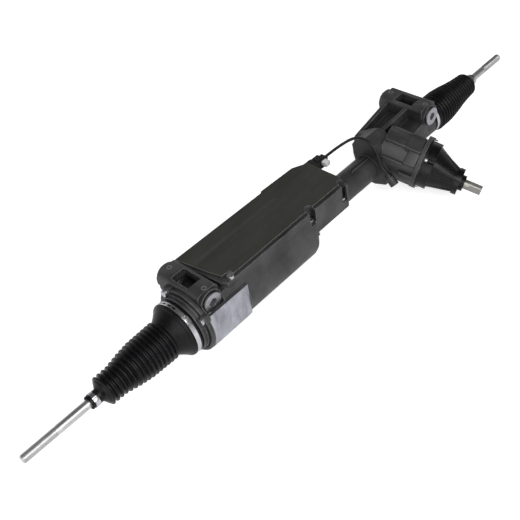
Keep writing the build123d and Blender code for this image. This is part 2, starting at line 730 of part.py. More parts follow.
bush_start = cover_cone_end - 12.0
with BuildPart() as pinion_cover:
    pinion_disc(tower_end, tower_end + cover_flange, flange_radius, Mode.ADD, flange_shift)
    pinion_disc(tower_end, cover_drum_end, cover_radius, Mode.ADD, flange_shift)
    with BuildSketch(pinion_plane(cover_drum_end)) as wide:
        with Locations(flange_shift):
            Circle(cover_radius - 4.5)
    with BuildSketch(pinion_plane(cover_cone_end)) as narrow:
        Circle(cover_tip_radius)
    loft([wide.sketch, narrow.sketch])
    pinion_disc(cover_cone_end, cover_ring_start, cover_tip_radius)
    pinion_disc(cover_ring_start, cover_ring_end, cover_ring_radius)
    for place in screw_places():
        pinion_disc(tower_end + cover_flange, cover_drum_end + 4, screw_notch, Mode.SUBTRACT, place)
    # stiffening ribs down the cone
    for angle in range(20, 380, 45):
        spoke = cover_radius - 5.0 + flange_shift[0] * cos(radians(angle)) + flange_shift[1] * sin(radians(angle))
        with BuildSketch(pinion_side(angle)) as rib:
            with BuildLine():
                Polyline([(cover_drum_end - 1, 20), (cover_drum_end - 1, spoke + 1.2),
                          (cover_ring_start + 1, cover_tip_radius + 1.2), (cover_ring_start + 1, 20)],
                         close=True)
            make_face()
        extrude(rib.sketch, amount=1.0, both=True)
    # hollow inside
    pinion_disc(tower_end, cover_drum_end - cover_wall, cover_radius - cover_wall - 4, Mode.SUBTRACT, flange_shift)
    with BuildSketch(pinion_plane(cover_drum_end - cover_wall)) as wide_room:
        with Locations(flange_shift):
            Circle(cover_radius - 7 - cover_wall)
    with BuildSketch(pinion_plane(bush_start)) as narrow_room:
        Circle(cover_tip_radius - cover_wall)
    loft([wide_room.sketch, narrow_room.sketch], mode=Mode.SUBTRACT)
    pinion_disc(bush_start, cover_ring_end, seal_radius, Mode.SUBTRACT)
keep(pinion_cover, "pinion_cover")

keep(pinion_ring(bush_start + 1, bush_start + 13, seal_radius - running_fit, shaft_radius + running_fit),
     "input_bearing")
keep(pinion_ring(cover_ring_end - 6, seal_end, seal_radius - running_fit, shaft_radius + running_fit),
     "shaft_seal")

with BuildPart() as cover_screws:
    for place in screw_places():
        pinion_disc(tower_end + cover_flange, tower_end + cover_flange + 4, screw_head_radius, Mode.ADD, place)
keep(cover_screws, "cover_screws")

# ---------------------------------------------------------------- rack bush and yoke
rack_bush_end = right_ball_x - cup_depth - stroke - 4
with BuildPart() as rack_bush:
    rack_disc(rack_bush_end - rack_bush_length, rack_bush_end, tube_bore - running_fit)
    rack_disc(rack_bush_end - rack_bush_length, rack_bush_end, rack_radius + running_fit, Mode.SUBTRACT)
keep(rack_bush, "rack_bush")

saddle_start = 5.0
with BuildPart() as rack_yoke:
    yoke_disc(saddle_start, yoke_depth, yoke_radius - running_fit)
    rack_disc(pinion_x - 30, pinion_x + 30, rack_radius + running_fit, Mode.SUBTRACT)
keep(rack_yoke, "rack_yoke")

plug_start = yoke_boss_depth - yoke_plug_length
with BuildPart() as yoke_spring:
    yoke_disc(yoke_depth + running_fit, plug_start - running_fit, yoke_radius - 2)
    yoke_disc(yoke_depth + running_fit, plug_start - running_fit, yoke_radius - 6, Mode.SUBTRACT)
keep(yoke_spring, "yoke_spring")

with BuildPart() as yoke_plug:
    yoke_disc(plug_start, yoke_boss_depth + 2, yoke_radius - running_fit)
    with BuildSketch(yoke_plane(yoke_boss_depth - 4)) as socket:
        RegularPolygon(6, 6)
    extrude(socket.sketch, amount=6, mode=Mode.SUBTRACT)
keep(yoke_plug, "yoke_plug")

# ---------------------------------------------------------------- bushes in the brackets
boss_spans = ((boss_front, boss_front + bush_depth, -1), (boss_back, boss_back - bush_depth, 1))
with BuildPart() as bush_sleeves:
    for x in (0, bracket_pitch):
        for outer_face, inner_face, side in boss_spans:
            seat = outer_face + side * bush_proud
            tip = seat + side * washer_thickness
            inner_face += side * seat_gap
            cross_disc(x, bolt_rise, min(tip, inner_face), max(tip, inner_face), sleeve_radius)
            cross_disc(x, bolt_rise, min(tip, seat), max(tip, seat), washer_radius)
            cross_disc(x, bolt_rise, min(tip, inner_face), max(tip, inner_face), sleeve_bore, Mode.SUBTRACT)
keep(bush_sleeves, "bush_sleeves")

with BuildPart() as bush_rubbers:
    for x in (0, bracket_pitch):
        for outer_face, inner_face, side in boss_spans:
            seat = outer_face + side * (bush_proud - running_fit)
            end = inner_face + side
            cross_disc(x, bolt_rise, min(seat, end), max(seat, end), bush_bore - running_fit)
            cross_disc(x, bolt_rise, min(seat, end), max(seat, end), sleeve_radius + running_fit,
                       Mode.SUBTRACT)
keep(bush_rubbers, "bush_rubbers")


# ---------------------------------------------------------------- boots and their clamps
boot_wall = 2.2
fold_depth = 6.5


def bellows(points, folds, cuff_points):
    """Boot from its smooth outline of (x, radius) plus folds of (x, crest radius, pitch)."""
    outer = list(points)
    for x, crest, pitch in folds:
        outer += [(x - 0.40 * pitch, crest - fold_depth), (x - 0.14 * pitch, crest),
                  (x + 0.14 * pitch, crest), (x + 0.40 * pitch, crest - fold_depth)]
    outer += cuff_points
    return outer


def crest_at(x, table):
    """Crest radius at x, between the (x, radius) rows of a table."""
    for (x0, r0), (x1, r1) in zip(table, table[1:]):
        if x0 <= x <= x1:
            return r0 + (r1 - r0) * (x - x0) / (x1 - x0)
    return table[-1][1]


fold_pitch = 8.0
left_crests = [(-196, 24.0), (-188, 24.5), (-167, 25), (-145, 29.5), (-122, 32.5), (-85, 33.5), (-60, 33.5)]
left_folds = [(-190 + fold_pitch * n, crest_at(-190 + fold_pitch * n, left_crests), fold_pitch)
              for n in range(16)]
small_neck = 11.0
clamp_inset = 5.0
small_clamp_width = 7.0
boot_clamp_width = 8.0
left_boot_tip = left_ball_x - 100.0
right_boot_tip = right_ball_x + 115.0
with BuildPart() as left_boot:
    turned(bellows([(left_boot_tip, rod_radius + seat_gap), (left_boot_tip, small_neck),
                    (left_boot_tip + 19, small_neck)], left_folds,
                   [(-62, 33), (-54, 42), (-52, 46), (-38, 46), (-38, seat_radius + seat_gap),
                    (cap_start - seat_gap, seat_radius + seat_gap), (-58, 34), (-66, 25), (-120, 24.5),
                    (-160, 17), (left_boot_tip + 25, 16), (left_boot_tip + 19, rod_radius + seat_gap)]))
keep(left_boot, "left_boot")

right_crests = [(616, 32), (624, 34), (655, 34), (680, 31), (700, 27.5), (720, 25), (746, 23)]
right_folds = [(744 - fold_pitch * n, crest_at(744 - fold_pitch * n, right_crests), fold_pitch)
               for n in range(15)]
right_folds.reverse()
with BuildPart() as right_boot:
    turned(bellows([(600, end_seat_radius + seat_gap), (600, 29), (614, 29), (618, 31)], right_folds,
                   [(right_boot_tip - 18, small_neck), (right_boot_tip, small_neck),
                    (right_boot_tip, rod_radius + seat_gap), (right_boot_tip - 18, rod_radius + seat_gap),
                    (right_boot_tip - 24, 15.5), (712, 17), (676, 23), (640, 26.2), (621, 26.2),
                    (614 + seat_gap, end_seat_radius + seat_gap)]))
keep(right_boot, "right_boot")


def band_clamp(start, width, radius, ear_angle, ear_length):
    """Steel band about the rack axis, with a folded ear."""
    with BuildPart() as band:
        rack_disc(start, start + width, radius + 1.0)
        rack_disc(start, start + width, radius, Mode.SUBTRACT)
        with BuildSketch(across(start + 1)) as ear:
            with Locations(Rotation(0, 0, ear_angle) * Pos(radius + 2.4, 0)):
                Rectangle(4, ear_length)
        extrude(ear.sketch, amount=width - 2)
    return band


keep(band_clamp(-50, boot_clamp_width, 46 + running_fit, 128, 9), "left_boot_clamp")
keep(band_clamp(604, boot_clamp_width, 29 + running_fit, -35, 9), "right_boot_clamp")
keep(band_clamp(left_boot_tip + clamp_inset, small_clamp_width, small_neck + running_fit, 150, 7),
     "left_small_clamp")
keep(band_clamp(right_boot_tip - clamp_inset - small_clamp_width, small_clamp_width,
                small_neck + running_fit, 150, 7), "right_small_clamp")

# ---------------------------------------------------------------- connectors and sensor harness
with BuildPart() as sensor_connector:
    block(tray_end, tray_end + 16, 32, 54, 36, 52)
    block(tray_end + 4, tray_end + 16, 34, 52, 38, 50, Mode.SUBTRACT)
    block(tray_end + 4, tray_end + 15, 38, 48, 43, 45)
keep(sensor_connector, "sensor_connector")

with BuildPart() as harness_plug:
    block(tray_end + 16 + running_fit, tray_end + 34, 33, 53, 37, 51)
    block(tray_end + 34, tray_end + 42, 36, 50, 40, 49)
    block(tray_end + 18, tray_end + 30, 38, 48, 51, 53)
    # nose inside the socket, slotted for its tongue
    block(tray_end + 5, tray_end + 17, 34 + seat_gap, 52 - seat_gap, 38 + seat_gap, 50 - seat_gap)
    block(tray_end + 5, tray_end + 15 + seat_gap, 38 - seat_gap, 48 + seat_gap, 43 - seat_gap, 45 + seat_gap,
          Mode.SUBTRACT)
keep(harness_plug, "harness_plug")

with BuildPart() as vehicle_connectors:
    for x, width, height in ((262, 26, 20), (296, 22, 16)):
        block(x - width / 2, x + width / 2, tray_back, tray_back + 16, 14, 14 + height)
        block(x - width / 2 + 2, x + width / 2 - 2, tray_back + 4, tray_back + 16, 16, 12 + height,
              Mode.SUBTRACT)
        for step in (-1, 1):
            block(x + step * width / 4 - 1, x + step * width / 4 + 1, tray_back + 3, tray_back + 14,
                  13 + height / 2, 15 + height / 2)
keep(vehicle_connectors, "vehicle_connectors")

with BuildPart() as sensor_socket:
    disc_on(socket_plane(0), 3, 4)
    disc_on(socket_plane(3), socket_length - 3, 6.5)
keep(sensor_socket, "sensor_socket")

cord_radius = 2.6
harness_route = [(tray_end + 42 + running_fit, 43, 44.5), (385, 43, 44.5), (406, 38, 48), (420, 28, 55),
                 (420.5, 9, 64.5), (420.5, -13, 62), (420.5, -26, 45), (421, -30.5, 27), (422, -36.5, 15.5),
                 socket_mouth]
corner_radii = []
for before, here, after in zip(harness_route, harness_route[1:], harness_route[2:]):
    first = Vector(*here) - Vector(*before)
    second = Vector(*after) - Vector(*here)
    half_turn = radians(first.get_angle(second)) / 2
    corner_radii.append(0.45 * min(first.length, second.length) / tan(half_turn))
print("harness radii", [round(r, 1) for r in corner_radii])
with BuildPart() as sensor_harness:
    with BuildLine() as route:
        FilletPolyline([(x, rack_y + y, rack_z + z) for x, y, z in harness_route], radius=corner_radii)
    with BuildSketch(Plane(origin=route.line @ 0, z_dir=route.line % 0)) as section:
        Circle(cord_radius)
    sweep(section.sketch, path=route.line)
harness_length = sum(edge.length for edge in route.line.edges())
print("harness length", round(harness_length, 1), "volume", round(sensor_harness.part.volume),
      "section times length", round(pi * cord_radius ** 2 * harness_length))
keep(sensor_harness, "sensor_harness")
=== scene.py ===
import math

import bpy
import bmesh
from mathutils import Matrix, Vector


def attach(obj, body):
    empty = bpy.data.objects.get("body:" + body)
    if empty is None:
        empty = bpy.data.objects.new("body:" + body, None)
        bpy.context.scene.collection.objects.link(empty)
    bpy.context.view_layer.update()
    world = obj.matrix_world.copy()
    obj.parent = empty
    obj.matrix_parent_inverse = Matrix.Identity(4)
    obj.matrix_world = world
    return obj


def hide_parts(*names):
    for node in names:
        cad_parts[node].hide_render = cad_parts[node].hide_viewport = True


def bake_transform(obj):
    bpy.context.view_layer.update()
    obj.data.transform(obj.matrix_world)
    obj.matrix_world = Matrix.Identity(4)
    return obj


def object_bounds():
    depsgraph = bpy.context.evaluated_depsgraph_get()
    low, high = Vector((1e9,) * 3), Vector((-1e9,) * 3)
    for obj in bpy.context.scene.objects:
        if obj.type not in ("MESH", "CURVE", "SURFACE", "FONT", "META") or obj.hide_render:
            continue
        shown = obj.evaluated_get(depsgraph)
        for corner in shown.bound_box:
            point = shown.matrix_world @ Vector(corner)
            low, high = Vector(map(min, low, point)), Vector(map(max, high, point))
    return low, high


# Dressing of an electric power steering rack whose motor sits round the rack bar. Metres. The origin is the
# left bracket's bolt, +X runs along the rack to the pinion end, -Y is the driver's side, and +Z is square to
# the controller lid.
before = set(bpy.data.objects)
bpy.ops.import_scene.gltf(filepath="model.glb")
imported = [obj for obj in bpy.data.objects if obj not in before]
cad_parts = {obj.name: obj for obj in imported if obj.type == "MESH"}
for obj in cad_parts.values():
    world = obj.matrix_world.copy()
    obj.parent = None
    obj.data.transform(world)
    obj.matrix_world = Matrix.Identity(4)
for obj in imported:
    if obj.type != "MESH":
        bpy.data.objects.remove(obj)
cad_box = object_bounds()

# ---------------------------------------------------------------- camera
# It stands above the left end and looks along the rack, down on the controller lid and the front wall. Its
# view is given by the directions to its right and up.
camera_lens = bpy.data.cameras.new("camera")
camera_lens.sensor_fit = "HORIZONTAL"
camera_lens.sensor_width = 36.0
camera_lens.lens = 55.445
camera_lens.clip_start = 0.05
camera_lens.clip_end = 30.0
camera = bpy.data.objects.new("camera", camera_lens)
bpy.context.scene.collection.objects.link(camera)
camera_right = Vector((0.66784, -0.73528, -0.11554))
camera_up = Vector((0.56677, 0.40177, 0.71927))
camera_back = camera_right.cross(camera_up)
camera.matrix_world = (Matrix.Translation((-0.48473, -0.71792, 0.83960))
                       @ Matrix((camera_right, camera_up, camera_back)).transposed().to_4x4())
bpy.context.scene.camera = camera

# ---------------------------------------------------------------- studio
# White sweep with one broad lamp over the driver's side, and two weak ones at the left end and behind, of
# which the last makes no highlights. The camera and gloss see the sweep's white, and the light on the part
# stays plain.
scene = bpy.context.scene
scene.view_settings.view_transform = "Standard"
world = bpy.data.worlds.new("studio")
scene.world = world
world.use_nodes = True
nodes, links = world.node_tree.nodes, world.node_tree.links
nodes.clear()
world_out = nodes.new("ShaderNodeOutputWorld")
seen = nodes.new("ShaderNodeBackground")
seen.inputs["Color"].default_value = (1, 1, 1, 1)
seen.inputs["Strength"].default_value = 1.0
fill = nodes.new("ShaderNodeBackground")
fill.inputs["Color"].default_value = (0.93, 0.95, 1.0, 1)
fill.inputs["Strength"].default_value = 0.16
in_gloss = nodes.new("ShaderNodeBackground")
in_gloss.inputs["Strength"].default_value = 0.8
sky = nodes.new("ShaderNodeTexCoord")
sky_height = nodes.new("ShaderNodeSeparateXYZ")
sky_ramp = nodes.new("ShaderNodeMapRange")
sky_ramp.inputs["From Min"].default_value = 0.05
sky_ramp.inputs["From Max"].default_value = 0.6
sky_ramp.inputs["To Min"].default_value = 1.0
sky_ramp.inputs["To Max"].default_value = 0.14
links.new(sky.outputs["Generated"], sky_height.inputs["Vector"])
links.new(sky_height.outputs["Z"], sky_ramp.inputs["Value"])
links.new(sky_ramp.outputs["Result"], in_gloss.inputs["Color"])
ray = nodes.new("ShaderNodeLightPath")
to_gloss = nodes.new("ShaderNodeMixShader")
to_camera = nodes.new("ShaderNodeMixShader")
links.new(ray.outputs["Is Glossy Ray"], to_gloss.inputs["Fac"])
links.new(fill.outputs["Background"], to_gloss.inputs[1])
links.new(in_gloss.outputs["Background"], to_gloss.inputs[2])
links.new(ray.outputs["Is Camera Ray"], to_camera.inputs["Fac"])
links.new(to_gloss.outputs["Shader"], to_camera.inputs[1])
links.new(seen.outputs["Background"], to_camera.inputs[2])
links.new(to_camera.outputs["Shader"], world_out.inputs["Surface"])

for lamp_name, place, aim, size, power in (("key_lamp", (-0.35, -1.5, 1.55), (0.25, 0, 0), 1.7, 35.0),
                                           ("end_lamp", (-1.7, -0.5, 0.7), (0.0, 0, 0), 1.4, 9.0),
                                           ("back_lamp", (1.3, 1.5, 1.3), (0.3, 0, 0), 1.2, 11.0)):
    lamp_light = bpy.data.lights.new(lamp_name, "AREA")
    lamp_light.shape = "SQUARE"
    lamp_light.size = size
    lamp_light.energy = power
    lamp = bpy.data.objects.new(lamp_name, lamp_light)
    scene.collection.objects.link(lamp)
    lamp.location = place
    lamp.rotation_euler = (Vector(aim) - Vector(place)).to_track_quat("-Z", "Y").to_euler()
    lamp.visible_glossy = lamp_name != "back_lamp"

# The floor is a matt white sheet under the rack. It shows white, and keeps only a soft shadow of the part.
floor_gap = 0.0006
bpy.ops.object.select_all(action="DESELECT")
bpy.ops.mesh.primitive_plane_add(size=9, location=(0.25, 0, cad_box[0][2] - floor_gap))
floor = bpy.context.object
floor.name = "floor"
floor_paint = bpy.data.materials.new("floor_white")
floor_paint.use_nodes = True
nodes, links = floor_paint.node_tree.nodes, floor_paint.node_tree.links
floor_shader = nodes["Principled BSDF"]
floor_shader.inputs["Base Color"].default_value = (0.86, 0.86, 0.87, 1)
floor_shader.inputs["Roughness"].default_value = 0.9
floor_shader.inputs["Specular IOR Level"].default_value = 0.0
floor_glow = nodes.new("ShaderNodeEmission")
floor_glow.inputs["Color"].default_value = (1, 1, 1, 1)
floor_seen = nodes.new("ShaderNodeLightPath")
in_reflection = nodes.new("ShaderNodeMath")
in_reflection.operation = "MULTIPLY"
in_reflection.inputs[1].default_value = 0.2
level = nodes.new("ShaderNodeMath")
level.operation = "MULTIPLY_ADD"
level.inputs[1].default_value = 0.72
both = nodes.new("ShaderNodeAddShader")
links.new(floor_seen.outputs["Is Glossy Ray"], in_reflection.inputs[0])
links.new(floor_seen.outputs["Is Camera Ray"], level.inputs[0])
links.new(in_reflection.outputs["Value"], level.inputs[2])
links.new(level.outputs["Value"], floor_glow.inputs["Strength"])
links.new(floor_shader.outputs["BSDF"], both.inputs[0])
links.new(floor_glow.outputs["Emission"], both.inputs[1])
links.new(both.outputs["Shader"], nodes["Material Output"].inputs["Surface"])
floor.data.materials.append(floor_paint)

# ---------------------------------------------------------------- castings
# Motor housing, rack housing and end cap are die-cast aluminium under a thin dark conversion coat. The coat
# is blotchy, lighter on the edges (partly rubbed thin, partly a painted highlight), painted darker in the
# recesses as shade, and cut away to bright metal where a face was milled.


def surface(name, metallic, specular=0.5):
    """Material with its shader, and the object coordinates that its pattern is laid out in."""
    made = bpy.data.materials.new(name)
    made.use_nodes = True
    tree = made.node_tree
    shader = tree.nodes["Principled BSDF"]
    shader.inputs["Metallic"].default_value = metallic
    shader.inputs["Specular IOR Level"].default_value = specular
    place = tree.nodes.new("ShaderNodeTexCoord")
    return made, tree, shader, place.outputs["Object"]


def noise(tree, place, scale, detail, roughness=0.55, stretch=None):
    """Noise with this many features to the metre, stretched where the finish has a direction."""
    if stretch:
        mapping = tree.nodes.new("ShaderNodeMapping")
        mapping.inputs["Scale"].default_value = stretch
        tree.links.new(place, mapping.inputs["Vector"])
        place = mapping.outputs["Vector"]
    pattern = tree.nodes.new("ShaderNodeTexNoise")
    pattern.inputs["Scale"].default_value = scale
    pattern.inputs["Detail"].default_value = detail
    pattern.inputs["Roughness"].default_value = roughness
    tree.links.new(place, pattern.inputs["Vector"])
    return pattern.outputs["Fac"]


def spread(tree, value, low, high, to_low, to_high):
    """Value stretched from one range to another, and clamped."""
    ramp = tree.nodes.new("ShaderNodeMapRange")
    ramp.inputs["From Min"].default_value = low
    ramp.inputs["From Max"].default_value = high
    ramp.inputs["To Min"].default_value = to_low
    ramp.inputs["To Max"].default_value = to_high
    tree.links.new(value, ramp.inputs["Value"])
    return ramp.outputs["Result"]


def tint(tree, amount, first, second):
    """Colour between two, each a colour or another node's output."""
    mix = tree.nodes.new("ShaderNodeMix")
    mix.data_type = "RGBA"
    tree.links.new(amount, mix.inputs["Factor"])
    for socket, colour in ((mix.inputs["A"], first), (mix.inputs["B"], second)):
        if isinstance(colour, tuple):
            socket.default_value = (*colour, 1)
        else:
            tree.links.new(colour, socket)
    return mix.outputs["Result"]


def combine(tree, operation, first, second=0.0):
    """Arithmetic on one or two values, each a number or another node's output."""
    arithmetic = tree.nodes.new("ShaderNodeMath")
    arithmetic.operation = operation
    for socket, value in ((arithmetic.inputs[0], first), (arithmetic.inputs[1], second)):
        if isinstance(value, (int, float)):
            socket.default_value = value
        else:
            tree.links.new(value, socket)
    return arithmetic.outputs["Value"]


def split(tree, vector):
    """The X, Y and Z of a vector."""
    axes = tree.nodes.new("ShaderNodeSeparateXYZ")
    tree.links.new(vector, axes.inputs["Vector"])
    return axes.outputs


def within(tree, value, low, high):
    """Mask that is 1 between two values."""
    return combine(tree, "MULTIPLY", combine(tree, "GREATER_THAN", value, low),
                   combine(tree, "LESS_THAN", value, high))


def soft_edges(tree, radius):
    """Normal that turns smoothly round sharp edges, as on an edge broken by this radius."""
    rounding = tree.nodes.new("ShaderNodeBevel")
    rounding.samples = 6
    rounding.inputs["Radius"].default_value = radius
    return rounding.outputs["Normal"]


def edge_band(tree, rounded, low, high):
    """Mask that is 1 along edges, where the rounded normal leaves the face's own."""
    flat = tree.nodes.new("ShaderNodeNewGeometry")
    facing = tree.nodes.new("ShaderNodeVectorMath")
    facing.operation = "DOT_PRODUCT"
    tree.links.new(rounded, facing.inputs[0])
    tree.links.new(flat.outputs["True Normal"], facing.inputs[1])
    turn = combine(tree, "SUBTRACT", 1.0, facing.outputs["Value"])
    return spread(tree, turn, low, high, 0.0, 1.0)


def grain(tree, shader, height, depth, rounded=None):
    """Bump of this depth in metres, over the rounded edges where there are any."""
    bump = tree.nodes.new("ShaderNodeBump")
    bump.inputs["Strength"].default_value = 1.0
    bump.inputs["Distance"].default_value = depth
    tree.links.new(height, bump.inputs["Height"])
    if rounded is not None:
        tree.links.new(rounded, bump.inputs["Normal"])
    tree.links.new(bump.outputs["Normal"], shader.inputs["Normal"])


def paint(material, *names):
    """Give CAD nodes a material in every slot."""
    for name in names:
        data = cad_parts[name].data
        if not data.materials:
            data.materials.append(material)
        for index in range(len(data.materials)):
            data.materials[index] = material


casting, tree, shader, place = surface("cast_coated", 0.0, specular=0.55)
blotch = spread(tree, noise(tree, place, 22, 5, 0.6), 0.35, 0.68, 0.0, 1.0)
coat_colour = tint(tree, blotch, (0.021, 0.021, 0.0205), (0.060, 0.059, 0.061))
rounded = soft_edges(tree, 0.0014)
# Edges are painted lighter: partly the coat rubbed thin, partly a painted highlight along them.
rub = spread(tree, noise(tree, place, 130, 3, 0.6), 0.35, 0.65, 0.3, 0.9)
edge_rub_and_highlight = combine(tree, "MULTIPLY", edge_band(tree, rounded, 0.01, 0.16), rub)
coat_colour = tint(tree, edge_rub_and_highlight, coat_colour, (0.34, 0.335, 0.34))
# Painted shade: the colour is darkened towards black in pockets and creases, from the ambient occlusion.
hollow = tree.nodes.new("ShaderNodeAmbientOcclusion")
hollow.samples = 4
hollow.inputs["Distance"].default_value = 0.02
recess_shade = spread(tree, hollow.outputs["AO"], 0.35, 0.85, 0.35, 1.0)
coat_colour = tint(tree, recess_shade, (0.006, 0.006, 0.006), coat_colour)

# The front wall beside the left bracket is milled after coating. The cut shows the swirl of the cutter.
milled_front, milled_left, milled_right = -0.0625, -0.0199, 0.0622
axes = split(tree, place)
flat = tree.nodes.new("ShaderNodeNewGeometry")
faces_front = combine(tree, "LESS_THAN", split(tree, flat.outputs["True Normal"])["Y"], -0.98)
milled = combine(tree, "MULTIPLY", faces_front, combine(tree, "LESS_THAN", axes["Y"], milled_front))
milled = combine(tree, "MULTIPLY", milled, within(tree, axes["X"], milled_left, milled_right))
swirl = spread(tree, noise(tree, place, 34, 5, 0.65, stretch=(1.6, 1, 0.6)), 0.3, 0.7, 0.0, 1.0)
bright = tint(tree, swirl, (0.30, 0.30, 0.34), (0.60, 0.60, 0.66))
tree.links.new(tint(tree, milled, coat_colour, bright), shader.inputs["Base Color"])
tree.links.new(combine(tree, "MULTIPLY", milled, 0.85), shader.inputs["Metallic"])
rough = spread(tree, noise(tree, place, 40, 4, 0.5), 0.3, 0.7, 0.40, 0.54)
rough = combine(tree, "SUBTRACT", rough, combine(tree, "MULTIPLY", milled, 0.02))
tree.links.new(rough, shader.inputs["Roughness"])
grain(tree, shader, noise(tree, place, 900, 3, 0.6), 0.00006, rounded)
paint(casting, "motor_housing", "rack_housing", "end_cap")

# ---------------------------------------------------------------- cast bars, ribs and pads
# Outer forms of the castings, in one with their housings: the flat-topped bar between the bosses of each
# bracket, the pads and ribs on the pinion housing's drum, the double rib along the tube, the rib at the end
# of the controller's tray, and the collar at the end cap.
rack_y, rack_z = -0.013, -0.042


def start_piece(name, size=(1, 1, 1)):
    """Puts the size and place of the primitive just added into its mesh, and opens it with all selected."""
    made = bpy.context.object
    made.name = name
    made.scale = size
    bpy.ops.object.transform_apply(location=True, rotation=True, scale=True)
    bpy.ops.object.mode_set(mode="EDIT")
    bpy.ops.mesh.select_all(action="SELECT")
    return made


def finish_piece(made, material, body, corner=35):
    """Smooths a piece but for corners over this many degrees, and gives it its material, slot and body."""
    bpy.ops.object.mode_set(mode="OBJECT")
    bpy.ops.object.shade_smooth_by_angle(angle=math.radians(corner))
    made.data.materials.append(material)
    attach(made, body)


def cast_block(name, size, place, turn=(0, 0, 0), draft=0.9, bevel=0.0012, out=(0, 0, 1)):
    """Block with a draft towards its outer face and rounded edges, then turned and put in its place."""
    bpy.ops.object.select_all(action="DESELECT")
    bpy.ops.mesh.primitive_cube_add(size=1)
    made = start_piece(name, size)
    mesh = bmesh.from_edit_mesh(made.data)
    for face in mesh.faces:
        face.select = face.normal.dot(Vector(out)) > 0.9
    mesh.select_flush(True)
    bmesh.update_edit_mesh(made.data)
    depth = Vector(size).dot(Vector([abs(part) for part in out]))
    bpy.ops.transform.resize(value=(draft, draft, draft), center_override=tuple(Vector(out) * depth / 2))
    bpy.ops.mesh.select_all(action="SELECT")
    bpy.ops.mesh.bevel(offset=bevel, segments=3, affect="EDGES")
    bpy.ops.object.mode_set(mode="OBJECT")
    made.location = place
    made.rotation_euler = turn
    bpy.ops.object.transform_apply(location=True, rotation=True, scale=True)
    finish_piece(made, casting, "housing")


def ring_skin(name, rows, segments=72):
    """Skin about the rack axis, pulled ring by ring through rows of (x, radius) in millimetres."""
    start_x, start_radius = rows[0]
    bpy.ops.object.select_all(action="DESELECT")
    bpy.ops.mesh.primitive_circle_add(vertices=segments, radius=start_radius / 1000,
                                      location=(start_x / 1000, rack_y, rack_z), rotation=(0, math.pi / 2, 0))
    skin = start_piece(name)
    for (x, radius), (next_x, next_radius) in zip(rows, rows[1:]):
        bpy.ops.mesh.extrude_region_move(TRANSFORM_OT_translate={"value": ((next_x - x) / 1000, 0, 0)})
        scale = next_radius / radius
        bpy.ops.transform.resize(value=(1, scale, scale), center_override=(next_x / 1000, rack_y, rack_z))
    bpy.ops.mesh.select_all(action="SELECT")
    bpy.ops.mesh.normals_make_consistent(inside=False)
    bpy.ops.object.mode_set(mode="OBJECT")
    return skin


# Each bar's top is rounded over at its two long edges. The pocket in it is sunk to the casting underneath,
# which is its floor.
bar_low, bar_top, bar_front, bar_back, bar_half = -0.012, 0.0207, -0.044, 0.044, 0.0205
bar_round = 0.0085
pocket_front, pocket_back, pocket_low = -0.0198, 0.018, 0.008
for name, x, pocket_left, pocket_right in (("left_bracket_bar", 0.0, -0.0148, 0.012),
                                           ("right_bracket_bar", 0.567, -0.0168, 0.008)):
    bpy.ops.object.select_all(action="DESELECT")
    bpy.ops.mesh.primitive_cube_add(size=1, location=(x, (bar_front + bar_back) / 2, (bar_low + bar_top) / 2))
    bar = start_piece(name, (2 * bar_half, bar_back - bar_front, bar_top - bar_low))
    mesh = bmesh.from_edit_mesh(bar.data)
    for edge in mesh.edges:
        on_top = all(corner.co.z > bar_top - 0.001 for corner in edge.verts)
        edge.select = on_top and edge.verts[0].co.x == edge.verts[1].co.x
    bmesh.update_edit_mesh(bar.data)
    bpy.ops.mesh.bevel(offset=bar_round, segments=8, affect="EDGES")
    for cut, normal in (((x + pocket_left, 0, 0), (1, 0, 0)), ((x + pocket_right, 0, 0), (1, 0, 0)),
                        ((0, pocket_front, 0), (0, 1, 0)), ((0, pocket_back, 0), (0, 1, 0))):
        bpy.ops.mesh.select_all(action="SELECT")
        bpy.ops.mesh.bisect(plane_co=cut, plane_no=normal)
    mesh = bmesh.from_edit_mesh(bar.data)
    for face in mesh.faces:
        middle = face.calc_center_median()
        face.select = (face.normal.z > 0.3 and x + pocket_left < middle.x < x + pocket_right
                       and pocket_front < middle.y < pocket_back)
    mesh.select_flush(True)
    bmesh.update_edit_mesh(bar.data)
    bpy.ops.mesh.extrude_region_move(TRANSFORM_OT_translate={"value": (0, 0, pocket_low - bar_top)})
    bpy.ops.mesh.delete(type="FACE")
    finish_piece(bar, casting, "housing")

# The drum's pads and ribs are set round the pinion's axis, which leans out and down towards the driver. Each
# has its turn round that axis, the radius it stands on, its width, and its start and end along the axis.
pinion_place = Vector((0.466, -0.0175, -0.0262))
sideways, away = Vector((0.9636, 0.2569, 0.0737)), Vector((0, -0.2756, 0.9613))
outward = Vector((0.2672, -0.9263, -0.2656))
pad_depth, pad_lift, pad_shift = 0.016, 0.0022, 0.0018
for name, angle, reach, width, start, end in (("drum_panel", 88, 0.0445, 0.040, 0.040, 0.067),
                                              ("drum_window", 128, 0.0455, 0.025, 0.047, 0.067),
                                              ("drum_ledge", 167, 0.0460, 0.0045, 0.044, 0.068),
                                              ("drum_rib_1", 58, 0.0460, 0.0040, 0.004, 0.066),
                                              ("drum_rib_2", 108, 0.0460, 0.0040, 0.002, 0.046),
                                              ("drum_rib_3", 146, 0.0460, 0.0040, 0.004, 0.046)):
    turned_x = sideways * math.cos(math.radians(angle)) + away * math.sin(math.radians(angle))
    turned_y = outward.cross(turned_x)
    seat = (pinion_place + outward * (start + end) / 2 + turned_x * (reach + pad_lift - pad_depth / 2)
            + turned_y * pad_shift)
    cast_block(name, (pad_depth, width, end - start), seat,
               Matrix((turned_x, turned_y, outward)).transposed().to_euler(), out=(1, 0, 0))

